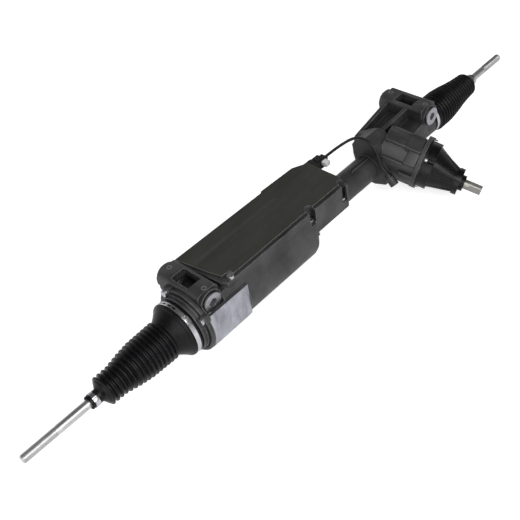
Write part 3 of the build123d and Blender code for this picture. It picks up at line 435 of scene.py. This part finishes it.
# The double rib runs along the top of the tube. The tray's rib leans a little.
tube_rib_size, tube_rib_x, tube_rib_lift = (0.049, 0.0026, 0.006), 0.3965, 0.0236
for name, off_axis in (("tube_rib_front", -0.0062), ("tube_rib_back", 0.0012)):
    cast_block(name, tube_rib_size, (tube_rib_x, rack_y + off_axis, rack_z + tube_rib_lift), bevel=0.0006)
tray_rib_size, tray_rib_place, tray_rib_lean = (0.0055, 0.006, 0.037), (0.3168, -0.0525, -0.0075), -6
cast_block("tray_end_rib", tray_rib_size, tray_rib_place, turn=(0, math.radians(tray_rib_lean), 0),
           out=(0, -1, 0), draft=0.8, bevel=0.0008)

# The collar stands round the end cap's flange, with a slope on each of its two outer edges.
collar_outline = [(-27.6, 51.5), (-27.6, 55.5), (-26.4, 56.5), (-21.6, 56.5), (-20.2, 55.3), (-20.2, 51.5)]
collar = ring_skin("end_collar", collar_outline, segments=96)
finish_piece(collar, casting, "housing")

# ---------------------------------------------------------------- mould marks
# Ejector pins of the casting mould leave round raised marks on the tops of the bracket bosses. Their rims
# stand proud of the casting, so the coat is rubbed thin there.


def mottled(name, metallic, tones, mottle, polish, rough, specular=0.5, fine=None, depth=0.00002, edge=None):
    """Even finish: a dark and a light tone in a mottle, and a roughness range that follows the polish. Where
    fine is given, there is a grain of that pattern, over edges broken by a radius. A pattern is what noise
    takes: features to the metre, detail, and where needed its roughness and stretch."""
    made, tree, shader, place = surface(name, metallic, specular)
    tree.links.new(tint(tree, noise(tree, place, *mottle), *tones), shader.inputs["Base Color"])
    tree.links.new(spread(tree, noise(tree, place, *polish), 0.3, 0.7, *rough), shader.inputs["Roughness"])
    if fine:
        grain(tree, shader, noise(tree, place, *fine), depth, soft_edges(tree, edge) if edge else None)
    return made


rubbed = mottled("cast_rubbed", 0.3, tones=((0.14, 0.14, 0.14), (0.26, 0.26, 0.26)), mottle=(300, 3),
                 polish=(500, 3), rough=(0.4, 0.55))
boss_top, mark_radius, mark_rim, mark_flatness = 0.0205, 0.0036, 0.0009, 0.6
mark_places = ((0.0, 0.037), (0.0, -0.0378), (0.567, 0.037), (0.567, -0.0378))
for number, (x, y) in enumerate(mark_places, start=1):
    bpy.ops.object.select_all(action="DESELECT")
    bpy.ops.mesh.primitive_torus_add(major_radius=mark_radius, minor_radius=mark_rim, major_segments=32,
                                     minor_segments=8, location=(x, y, boss_top))
    mark = start_piece(f"mould_mark_{number}")
    bpy.ops.transform.resize(value=(1, 1, mark_flatness), center_override=(x, y, boss_top))
    finish_piece(mark, rubbed, "housing", corner=50)

# ---------------------------------------------------------------- bracket bushes
# Each bracket boss holds a bush: a cold-formed steel sleeve with broad flanges, in a ring of black rubber
# that is pressed into the casting. The bolts that carry the rack go through the sleeves.
sleeve_steel = mottled("sleeve_steel", 1.0, tones=((0.36, 0.36, 0.38), (0.58, 0.58, 0.61)), mottle=(90, 4),
                       polish=(300, 3), rough=(0.42, 0.58), fine=(1200, 2), depth=0.00003, edge=0.0005)
paint(sleeve_steel, "bush_sleeves")

rubber, tree, shader, place = surface("boot_rubber", 0.0, specular=0.2)
tree.links.new(tint(tree, spread(tree, noise(tree, place, 45, 5), 0.35, 0.7, 0, 1), (0.0035, 0.0035, 0.004),
                    (0.009, 0.009, 0.010)), shader.inputs["Base Color"])
tree.links.new(spread(tree, noise(tree, place, 120, 4), 0.3, 0.7, 0.24, 0.36), shader.inputs["Roughness"])
grain(tree, shader, noise(tree, place, 1300, 3), 0.00003)
paint(rubber, "bush_rubbers")

# ---------------------------------------------------------------- inner pieces
# Pieces sealed inside the housings: bearing rings, ball nut, rotor, stator, yoke, sensor and electronics.
# They show only where the part is cut open or taken apart, and each still has its own finish.
for piece_finish, dark, light, metallic, rough, fineness, names in (
        ("bearing_steel", (0.42, 0.42, 0.43), (0.60, 0.60, 0.61), 1.0, (0.16, 0.30), 400,
         ("nut_bearing_outer_ring", "nut_bearing_inner_ring", "tail_bearing_outer_ring",
          "tail_bearing_inner_ring", "needle_bearing", "pinion_bearing_outer_ring",
          "pinion_bearing_inner_ring", "input_bearing", "ball_nut", "rotor_sleeve", "yoke_spring")),
        ("laminated_steel", (0.20, 0.20, 0.21), (0.33, 0.33, 0.34), 1.0, (0.35, 0.5), 700, ("stator_stack",)),
        ("magnet_plate", (0.18, 0.18, 0.20), (0.28, 0.28, 0.30), 1.0, (0.25, 0.4), 300,
         ("rotor_magnets", "sensor_magnet_ring")),
        ("copper_wire", (0.45, 0.20, 0.09), (0.66, 0.34, 0.17), 1.0, (0.3, 0.45), 500, ("stator_windings",)),
        ("circuit_board", (0.010, 0.09, 0.04), (0.02, 0.14, 0.07), 0.0, (0.35, 0.5), 250,
         ("controller_board",)),
        ("sleeve_bronze", (0.36, 0.25, 0.11), (0.52, 0.38, 0.18), 1.0, (0.3, 0.45), 300,
         ("rack_bush", "rack_yoke")),
        ("capacitor_can", (0.03, 0.03, 0.035), (0.06, 0.06, 0.07), 0.0, (0.3, 0.45), 300,
         ("capacitors", "torque_sensor"))):
    inner = mottled(piece_finish, metallic, tones=(dark, light), mottle=(60, 4), polish=(fineness, 3),
                    rough=rough, fine=(4 * fineness, 2))
    paint(inner, *names)

# ---------------------------------------------------------------- rack bar and tie rods
# The rack bar, the tie rods and the housings of their inner ball joints are turned steel. They keep fine tool
# rings round them and a few dull stains.
steel, tree, shader, place = surface("turned_steel", 1.0)
rings = noise(tree, place, 1, 3, 0.6, stretch=(900, 8, 8))
stain = spread(tree, noise(tree, place, 35, 4, 0.6, stretch=(0.5, 1, 1)), 0.35, 0.7, 0.0, 1.0)
tree.links.new(tint(tree, stain, (0.56, 0.56, 0.56), (0.82, 0.82, 0.82)), shader.inputs["Base Color"])
tree.links.new(spread(tree, rings, 0.3, 0.7, 0.30, 0.46), shader.inputs["Roughness"])
grain(tree, shader, rings, 0.00002)
paint(steel, "rack_bar", "left_ball_joint_housing", "left_tie_rod", "right_ball_joint_housing",
      "right_tie_rod")

# ---------------------------------------------------------------- tie rod threads
# M14 threads are rolled on the last 57 mm of each tie rod, for the outer ball joints. Their flanks hold dark
# oil, so they look duller than the rods.
thread_steel = mottled("thread_steel", 1.0, tones=((0.30, 0.30, 0.30), (0.52, 0.52, 0.52)), mottle=(140, 4),
                       polish=(500, 3), rough=(0.32, 0.46))
thread_pitch, thread_core, thread_crest, thread_turns = 0.0015, 0.00655, 0.00698, 37
ridge_radius, ridge_spread = 0.00052, 1.25
for name, body, start in (("left_thread", "left_rod", -0.3322), ("right_thread", "right_rod", 0.8102)):
    bpy.ops.object.select_all(action="DESELECT")
    bpy.ops.mesh.primitive_circle_add(vertices=4, radius=ridge_radius, fill_type="NGON",
                                      location=(start, rack_y, rack_z + thread_core),
                                      rotation=(math.pi / 2, 0, 0))
    thread = start_piece(name)
    bpy.ops.transform.translate(value=(-start, -rack_y, -rack_z))
    bpy.ops.transform.resize(value=(ridge_spread, 1, (thread_crest - thread_core) / ridge_radius),
                             center_override=(0, 0, thread_core))
    bpy.ops.object.mode_set(mode="OBJECT")
    turning = thread.modifiers.new("turning", "SCREW")
    turning.axis = "X"
    turning.angle = 2 * math.pi
    turning.screw_offset = thread_pitch
    turning.iterations = thread_turns
    turning.steps = 20
    turning.render_steps = 20
    turning.use_merge_vertices = True
    bpy.ops.object.modifier_apply(modifier="turning")
    bpy.ops.object.mode_set(mode="EDIT")
    bpy.ops.mesh.select_all(action="SELECT")
    bpy.ops.mesh.remove_doubles(threshold=0.000005)
    bpy.ops.mesh.normals_make_consistent(inside=False)
    bpy.ops.transform.translate(value=(start, rack_y, rack_z))
    finish_piece(thread, thread_steel, body)

# ---------------------------------------------------------------- pinion and input shaft
# The input shaft, the torsion bar inside it and the pinion are machined from alloy steel, with a dull
# yellowish grey finish. The pinion runs in the rack housing and meshes with the rack bar.
shaft_steel = mottled("shaft_steel", 1.0, tones=((0.26, 0.255, 0.235), (0.42, 0.415, 0.39)), mottle=(80, 4),
                      polish=(400, 3), rough=(0.34, 0.5), fine=(1500, 2), edge=0.0005)
paint(shaft_steel, "input_shaft", "pinion", "torsion_bar")

# ---------------------------------------------------------------- controller lid
# Pressed sheet lid over the motor's electronics, in a matt black-olive paint that shows dust and wiping
# streaks. Its edges are lighter, partly rubbed paint and partly a painted highlight. The shallow groove
# pressed into it lengthwise is drawn in colour only: painted shade along its floor, and a painted highlight
# along its lips.
groove_y, groove_start, groove_end = 0.016, 0.030, 0.218
groove_floor, groove_edge, lip_start, lip_end = 0.0006, 0.0010, 0.0007, 0.0022
lid_paint, tree, shader, place = surface("lid_matt", 0.0, specular=0.35)
streak = noise(tree, place, 30, 5, 0.6, stretch=(0.35, 1.6, 1))
dust = spread(tree, streak, 0.35, 0.7, 0.0, 1.0)
rounded = soft_edges(tree, 0.0011)
axes = split(tree, place)
off_line = combine(tree, "ABSOLUTE", combine(tree, "SUBTRACT", axes["Y"], groove_y))
along = within(tree, axes["X"], groove_start, groove_end)
# Painted shade along the groove's floor, and a painted highlight along its two lips.
groove_shade = combine(tree, "MULTIPLY", along, spread(tree, off_line, groove_floor, groove_edge, 1.0, 0.0))
lip_highlight = combine(tree, "MULTIPLY", spread(tree, off_line, groove_edge, lip_end, 1.0, 0.0),
              spread(tree, off_line, lip_start, groove_edge, 0.0, 1.0))
lip_highlight = combine(tree, "MULTIPLY", along, lip_highlight)
lid_colour = tint(tree, dust, (0.029, 0.029, 0.025), (0.043, 0.043, 0.037))
# Edges painted lighter: partly rubbed paint, partly a painted highlight.
lid_edge_wear_and_highlight = combine(tree, "MULTIPLY", edge_band(tree, rounded, 0.01, 0.14), 0.8)
lid_colour = tint(tree, lid_edge_wear_and_highlight, lid_colour, (0.36, 0.36, 0.35))
lid_colour = tint(tree, combine(tree, "MULTIPLY", lip_highlight, 0.5), lid_colour, (0.20, 0.20, 0.19))
lid_colour = tint(tree, groove_shade, lid_colour, (0.004, 0.004, 0.004))
tree.links.new(lid_colour, shader.inputs["Base Color"])
tree.links.new(spread(tree, noise(tree, place, 55, 4), 0.3, 0.7, 0.5, 0.66), shader.inputs["Roughness"])
grain(tree, shader, noise(tree, place, 1400, 2), 0.00003, rounded)
paint(lid_paint, "controller_lid")

# ---------------------------------------------------------------- pinion cover and shaft seal
# The cover over the pinion housing's open end is moulded in glass-filled black plastic, with a satin face.
# The black rubber seal at its tip closes the gap to the input shaft.
gloss, tree, shader, place = surface("cover_plastic", 0.0, specular=0.28)
cover_colour = tint(tree, spread(tree, noise(tree, place, 60, 4), 0.35, 0.7, 0, 1), (0.003, 0.003, 0.0035),
                    (0.006, 0.006, 0.0065))
rounded = soft_edges(tree, 0.0007)
cover_edge = combine(tree, "MULTIPLY", edge_band(tree, rounded, 0.02, 0.22), 0.3)
tree.links.new(tint(tree, cover_edge, cover_colour, (0.08, 0.08, 0.085)), shader.inputs["Base Color"])
tree.links.new(spread(tree, noise(tree, place, 150, 4), 0.3, 0.7, 0.2, 0.34), shader.inputs["Roughness"])
grain(tree, shader, noise(tree, place, 1000, 3), 0.00001, rounded)
paint(gloss, "pinion_cover")
paint(rubber, "shaft_seal")

# ---------------------------------------------------------------- screws and yoke plug
# Zinc-plated steel: the bolts that hold the lid, the end cap and the pinion cover, and the plug that is
# screwed in behind the rack yoke.
zinc = mottled("zinc_plate", 1.0, tones=((0.45, 0.45, 0.47), (0.80, 0.80, 0.83)), mottle=(260, 3),
               polish=(350, 3), rough=(0.22, 0.42), fine=(1500, 2), edge=0.0004)
paint(zinc, "tray_bolts", "end_cap_bolts", "cover_screws", "yoke_plug")

# ---------------------------------------------------------------- connectors
# The controller's open vehicle connectors, and the plug and sockets of the sensor harness, are moulded in
# glass-filled black plastic with a fine matt grain.
plastic, tree, shader, place = surface("connector_plastic", 0.0, specular=0.45)
plug_colour = tint(tree, noise(tree, place, 70, 4), (0.006, 0.006, 0.0065), (0.013, 0.013, 0.014))
rounded = soft_edges(tree, 0.0005)
plug_edge = combine(tree, "MULTIPLY", edge_band(tree, rounded, 0.02, 0.22), 0.35)
tree.links.new(tint(tree, plug_edge, plug_colour, (0.09, 0.09, 0.095)), shader.inputs["Base Color"])
tree.links.new(spread(tree, noise(tree, place, 200, 4), 0.3, 0.7, 0.4, 0.58), shader.inputs["Roughness"])
grain(tree, shader, noise(tree, place, 1600, 3), 0.00004, rounded)
paint(plastic, "sensor_connector", "harness_plug", "vehicle_connectors", "sensor_socket")

# ---------------------------------------------------------------- boots
# Blow-moulded rubber bellows over the inner ball joints, the big end clamped on the housing and the small end
# on the tie rod. Each boot is two skins that meet in a valley of its folds. Places and radii are in
# millimetres.
boot_wall = 0.0022
fold_profile = ((-0.50, 4.4), (-0.38, 4.1), (-0.28, 2.5), (-0.18, 0.9), (-0.09, 0.2), (0.0, 0.0), (0.09, 0.2),
                (0.18, 0.9), (0.28, 2.5), (0.38, 4.1))


def between(table):
    """Radius at x along a table of (x, radius)."""
    def radius_at(x):
        for (x0, r0), (x1, r1) in zip(table, table[1:]):
            if x <= x1:
                return r0 + (r1 - r0) * (max(x, x0) - x0) / (x1 - x0)
        return table[-1][1]
    return radius_at


def folds(first, count, pitch, crest_at):
    """Rows of a run of folds: broad valleys and narrow round crests."""
    rows = []
    for n in range(count):
        x = first + pitch * n
        crest = crest_at(x)
        for share, drop in fold_profile:
            rows.append((x + share * pitch, crest - drop))
    return rows


def boot(name, rows):
    """Rubber skin with its wall inward, pulled through rows of (x, radius) about the rack axis."""
    skin = ring_skin(name, rows)
    facing_out = sum((point.co.y - rack_y) * point.normal.y + (point.co.z - rack_z) * point.normal.z
                     for point in skin.data.vertices)
    inward = skin.modifiers.new("wall", "SOLIDIFY")
    inward.thickness = boot_wall
    inward.offset = -1.0 if facing_out > 0 else 1.0
    bpy.ops.object.modifier_apply(modifier="wall")
    bpy.ops.object.mode_set(mode="EDIT")
    bpy.ops.mesh.select_all(action="SELECT")
    bpy.ops.mesh.remove_doubles(threshold=0.00001)
    bpy.ops.mesh.normals_make_consistent(inside=False)
    bpy.ops.object.mode_set(mode="OBJECT")
    bpy.ops.object.shade_smooth_by_angle(angle=math.radians(50))
    skin.data.materials.append(rubber)
    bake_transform(skin)
    return skin


left_crest = between([(-196, 24.0), (-188, 24.5), (-167, 25), (-145, 29.5), (-122, 32.5), (-85, 33.5),
                      (-60, 33.5)])
left_folds = boot("left_boot_folds", folds(-136.6, 9, 7.4, left_crest)
                  + [(-73.6, 29.2), (-72, 30.8), (-69, 32.6), (-64, 36.1), (-59.5, 39.6), (-56, 42.6),
                     (-55.6, 42.5), (-55.0, 43.6), (-53.6, 45.2), (-52.2, 46.4), (-51.2, 46.9), (-50.6, 46.5),
                     (-50.2, 46.0), (-42, 46.0), (-41.2, 46.9), (-39, 46.9), (-38.3, 46.2)])
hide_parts("left_boot")
boot("left_boot_end", [(-218.8, 10.4), (-218.2, 11), (-214.2, 11), (-213.8, 10.9), (-207.2, 10.9),
                       (-206.8, 11), (-201, 11), (-199.6, 12), (-198, 14.5), (-196.4, 16.8)]
     + folds(-191, 7, 7.8, left_crest) + [(-140.2, 25.8)])

right_pitch = 8.0
right_crest = between([(616, 32), (624, 34), (655, 34), (680, 31), (700, 27.5), (720, 25), (746, 23)])
right_folds = boot("right_boot_folds", [(600.2, 28.6), (600.8, 29), (603.8, 29), (604.2, 28.95),
                                        (611.8, 28.95), (612.2, 29), (614, 29.3), (616, 30.4)]
                   + folds(624, 10, right_pitch, right_crest) + [(700.2, 23.1)])
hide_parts("right_boot")
boot("right_boot_end", [(700.4, 22.9)] + folds(704, 6, right_pitch, right_crest)
     + [(748.2, 17.4), (749.4, 13.5), (751, 11.6), (753, 11), (756, 11), (756.4, 10.9), (762.8, 10.9),
        (763.2, 11), (767.2, 11), (767.8, 10.4)])

# ---------------------------------------------------------------- band clamps
# Bright rolled stainless bands hold the boots: broad ones with punched slots on the housings, and small ones
# on the tie rods. Each is drawn tight by a pinched fold.
stainless = mottled("band_stainless", 1.0, tones=((0.50, 0.50, 0.52), (0.80, 0.80, 0.82)), mottle=(120, 3),
                    polish=(500, 3, 0.5, (1, 0.1, 0.1)), rough=(0.14, 0.3))
band_wall, fold_height = 0.0008, 0.0034


def band_clamp(name, body, start, width, radius, segments, fold_turn, fold_span, slots=()):
    """Band about the rack axis, with slots and a fold at these turns round it. Millimetres and degrees."""
    rim = 0.3 * width
    band = ring_skin(name, [(start, radius), (start + rim, radius), (start + width - rim, radius),
                            (start + width, radius)], segments)
    middle_x = (start + width / 2) / 1000
    slot_reach = 1.5 * 360 / segments

    def turned_off(face, turn):
        middle = face.calc_center_median()
        face_turn = math.degrees(math.atan2(middle.z - rack_z, middle.y - rack_y))
        return abs((face_turn - turn + 180) % 360 - 180)

    bpy.ops.object.mode_set(mode="EDIT")
    bpy.ops.mesh.select_all(action="DESELECT")
    mesh = bmesh.from_edit_mesh(band.data)
    holes = [face for face in mesh.faces if abs(face.calc_center_median().x - middle_x) < 0.1 * width / 1000
             and any(turned_off(face, slot) < slot_reach for slot in slots)]
    bmesh.ops.delete(mesh, geom=holes, context="FACES")
    for face in mesh.faces:
        face.select = turned_off(face, fold_turn) < fold_span / 2
    bmesh.update_edit_mesh(band.data)
    out = Vector((0, math.cos(math.radians(fold_turn)), math.sin(math.radians(fold_turn))))
    bpy.ops.mesh.extrude_region_move(TRANSFORM_OT_translate={"value": tuple(out * fold_height)})
    bpy.ops.mesh.select_all(action="SELECT")
    bpy.ops.mesh.normals_make_consistent(inside=False)
    bpy.ops.object.mode_set(mode="OBJECT")
    outward_wall = band.modifiers.new("wall", "SOLIDIFY")
    outward_wall.thickness = band_wall
    outward_wall.offset = 1.0
    bpy.ops.object.modifier_apply(modifier="wall")
    finish_piece(band, stainless, body, corner=40)
    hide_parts(name.replace("_band", "_clamp"))


band_clamp("left_boot_band", "housing", start=-49.7, width=7.4, radius=46.15, segments=120, fold_turn=128,
           fold_span=11.5, slots=[14 + 13.5 * n for n in range(7)])
band_clamp("right_boot_band", "housing", start=604.3, width=7.4, radius=29.15, segments=90, fold_turn=-35,
           fold_span=17, slots=[70 + 20 * n for n in range(4)])
for name, body, start in (("left_small_band", "left_rod", -213.8), ("right_small_band", "right_rod", 756.2)):
    band_clamp(name, body, start, width=6.6, radius=11.15, segments=48, fold_turn=150, fold_span=38)

# ---------------------------------------------------------------- sensor harness
# Short taped lead from the controller to the torque sensor. It leaves the plug straight, climbs over the
# shoulder of the pinion housing and dives into its socket. The route is in millimetres from the rack axis.
tape = mottled("harness_tape", 0.0, specular=0.4, tones=((0.006, 0.006, 0.0065), (0.014, 0.014, 0.015)),
               mottle=(120, 4), polish=(300, 3), rough=(0.42, 0.6), fine=(900, 3), depth=0.00005)
harness_route = [(362.05, 43, 44.5), (385, 43, 44.5), (406, 38, 48), (420, 28, 55), (420.5, 9, 64.5),
                 (420.5, -13, 62), (420.5, -26, 45), (421, -30.5, 27), (422, -36.5, 15.5), (422, -44, 8)]
harness_line = bpy.data.curves.new("sensor_cord", "CURVE")
harness_line.dimensions = "3D"
harness_line.bevel_depth = 0.0026
harness_line.bevel_resolution = 5
harness_line.resolution_u = 12
harness_line.use_fill_caps = True
run = harness_line.splines.new("NURBS")
run.points.add(len(harness_route) - 1)
for point, (x, y, z) in zip(run.points, harness_route):
    point.co = (x / 1000, y / 1000 + rack_y, z / 1000 + rack_z, 1)
run.order_u = 3
run.use_endpoint_u = True
harness = bpy.data.objects.new("sensor_cord", harness_line)
scene.collection.objects.link(harness)
harness_line.materials.append(tape)
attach(harness, "housing")
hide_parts("sensor_harness")

# ---------------------------------------------------------------- plug lock
# The harness's plug is locked by a natural-white slide of unfilled plastic. It is pushed across the plug's
# latch once the plug is home.
clip_white = mottled("clip_white", 0.0, tones=((0.62, 0.62, 0.60), (0.78, 0.78, 0.76)), mottle=(150, 3),
                     polish=(400, 3), rough=(0.35, 0.5))
lock_place, lock_size, lock_round = (0.347, 0.015, 0.0062), (0.0115, 0.0105, 0.0085), 0.0008
bpy.ops.object.select_all(action="DESELECT")
bpy.ops.mesh.primitive_cube_add(size=1, location=lock_place)
clip = start_piece("plug_lock", lock_size)
bpy.ops.mesh.bevel(offset=lock_round, segments=2, affect="EDGES")
finish_piece(clip, clip_white, "housing", corner=40)
